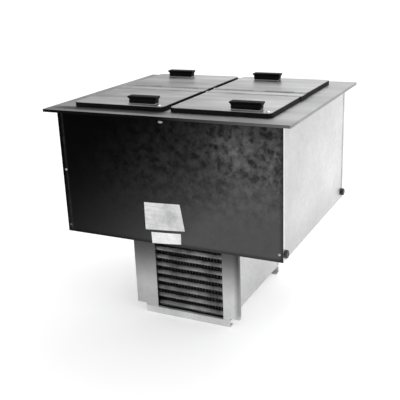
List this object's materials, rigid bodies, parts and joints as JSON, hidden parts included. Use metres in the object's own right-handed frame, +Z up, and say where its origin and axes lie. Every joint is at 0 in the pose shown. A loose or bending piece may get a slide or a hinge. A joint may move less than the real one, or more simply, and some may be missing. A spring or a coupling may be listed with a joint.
{
  "type": "ice cream dipping cabinet",
  "caption": "Drop-in ice cream dipping cabinet: flanged insulated chest with paired flip lids over round tub wells and a louvred refrigeration housing below.",
  "frame": {"origin": "on the floor under the middle of the cabinet: the centre of the bottom of its box", "axes": "+Z up, +X to the right as seen from the front, +Y to the rear, so the front panel and the louvres face -Y"},
  "size_m": [0.771, 0.663, 0.717],
  "materials": {
    "top_steel": "satin",
    "lid_steel": "satin",
    "hinge_steel": "satin",
    "pin_steel": "gloss",
    "lid_edge_vinyl": "matte",
    "lid_core_plastic": "satin",
    "handle_plastic": "satin",
    "gasket_rubber": "matte",
    "front_sheet": "satin",
    "rear_sheet": "satin",
    "side_sheet": "satin",
    "floor_sheet": "satin",
    "plug_plastic": "satin",
    "collar_plastic": "satin",
    "liner_steel": "satin",
    "foam_block": "matte",
    "coil_copper": "satin",
    "line_copper": "gloss",
    "frame_sheet": "satin",
    "grille_sheet": "satin",
    "housing_sheet": "satin",
    "base_zinc": "satin",
    "condenser_metal": "satin",
    "bracket_sheet": "satin",
    "blade_aluminium": "satin",
    "motor_paint": "satin",
    "shell_paint": "gloss",
    "grommet_rubber": "matte",
    "relay_plastic": "satin",
    "thermostat_plastic": "satin",
    "knob_plastic": "satin"
  },
  "bodies": {
    "cabinet": {"top_frame": "top_steel", "counter_gasket": "gasket_rubber", "front_panel": "front_sheet", "rear_panel": "rear_sheet", "left_side_panel": "side_sheet", "right_side_panel": "side_sheet", "right_front_plug": "plug_plastic", "right_rear_plug": "plug_plastic", "opening_collar": "collar_plastic", "tank_liner": "liner_steel", "evaporator_coil": "coil_copper", "tank_insulation": "foam_block", "floor_panel": "floor_sheet", "base_frame": "base_zinc", "housing_front_frame": "frame_sheet", "louvre_grille": "grille_sheet", "left_housing_wall": "housing_sheet", "right_housing_wall": "housing_sheet", "housing_rear_panel": "housing_sheet", "cord_gland": "plug_plastic", "condenser_coil": "condenser_metal", "fan_shroud": "bracket_sheet", "fan_motor": "motor_paint", "fan_bracket": "bracket_sheet", "compressor": "shell_paint", "left_front_grommet": "grommet_rubber", "left_rear_grommet": "grommet_rubber", "right_front_grommet": "grommet_rubber", "right_rear_grommet": "grommet_rubber", "relay_cover": "relay_plastic", "suction_line": "line_copper", "discharge_line": "line_copper", "filter_drier_line": "line_copper", "thermostat": "thermostat_plastic"},
    "left_lid_set": {"left_hinge_strip": "hinge_steel", "left_front_hinge_pin": "pin_steel", "left_rear_hinge_pin": "pin_steel"},
    "left_front_leaf": {"left_front_leaf_skin": "lid_steel", "left_front_leaf_edge": "lid_edge_vinyl", "left_front_leaf_core": "lid_core_plastic", "left_front_leaf_handle": "handle_plastic"},
    "left_rear_leaf": {"left_rear_leaf_skin": "lid_steel", "left_rear_leaf_edge": "lid_edge_vinyl", "left_rear_leaf_core": "lid_core_plastic", "left_rear_leaf_handle": "handle_plastic"},
    "right_lid_set": {"right_hinge_strip": "hinge_steel", "right_front_hinge_pin": "pin_steel", "right_rear_hinge_pin": "pin_steel"},
    "right_front_leaf": {"right_front_leaf_skin": "lid_steel", "right_front_leaf_edge": "lid_edge_vinyl", "right_front_leaf_core": "lid_core_plastic", "right_front_leaf_handle": "handle_plastic"},
    "right_rear_leaf": {"right_rear_leaf_skin": "lid_steel", "right_rear_leaf_edge": "lid_edge_vinyl", "right_rear_leaf_core": "lid_core_plastic", "right_rear_leaf_handle": "handle_plastic"},
    "fan": {"fan_blade": "blade_aluminium"},
    "thermostat_dial": {"thermostat_knob": "knob_plastic"}
  },
  "joints": [
    {"name": "left_lid_lift", "type": "slide", "parent": "cabinet", "child": "left_lid_set", "axis": [0, 0, 1], "range_m": [0, 0.15]},
    {"name": "left_front_leaf_hinge", "type": "hinge", "parent": "left_lid_set", "child": "left_front_leaf", "pos_m": [-0.1605, -0.0285, 0.6955], "axis": [-1, 0, 0], "range_deg": [0, 172]},
    {"name": "left_rear_leaf_hinge", "type": "hinge", "parent": "left_lid_set", "child": "left_rear_leaf", "pos_m": [-0.1605, 0.0285, 0.6955], "axis": [-1, 0, 0], "range_deg": [-172, 0]},
    {"name": "right_lid_lift", "type": "slide", "parent": "cabinet", "child": "right_lid_set", "axis": [0, 0, 1], "range_m": [0, 0.15]},
    {"name": "right_front_leaf_hinge", "type": "hinge", "parent": "right_lid_set", "child": "right_front_leaf", "pos_m": [0.1605, -0.0285, 0.6955], "axis": [-1, 0, 0], "range_deg": [0, 172]},
    {"name": "right_rear_leaf_hinge", "type": "hinge", "parent": "right_lid_set", "child": "right_rear_leaf", "pos_m": [0.1605, 0.0285, 0.6955], "axis": [-1, 0, 0], "range_deg": [-172, 0]},
    {"name": "fan_spin", "type": "hinge", "parent": "cabinet", "child": "fan", "pos_m": [0.011, -0.124, 0.1349], "axis": [0, 1, 0], "continuous": true},
    {"name": "thermostat_turn", "type": "hinge", "parent": "cabinet", "child": "thermostat_dial", "pos_m": [-0.158, -0.1, 0.205], "axis": [1, 0, 0], "range_deg": [-140, 140]}
  ]
}
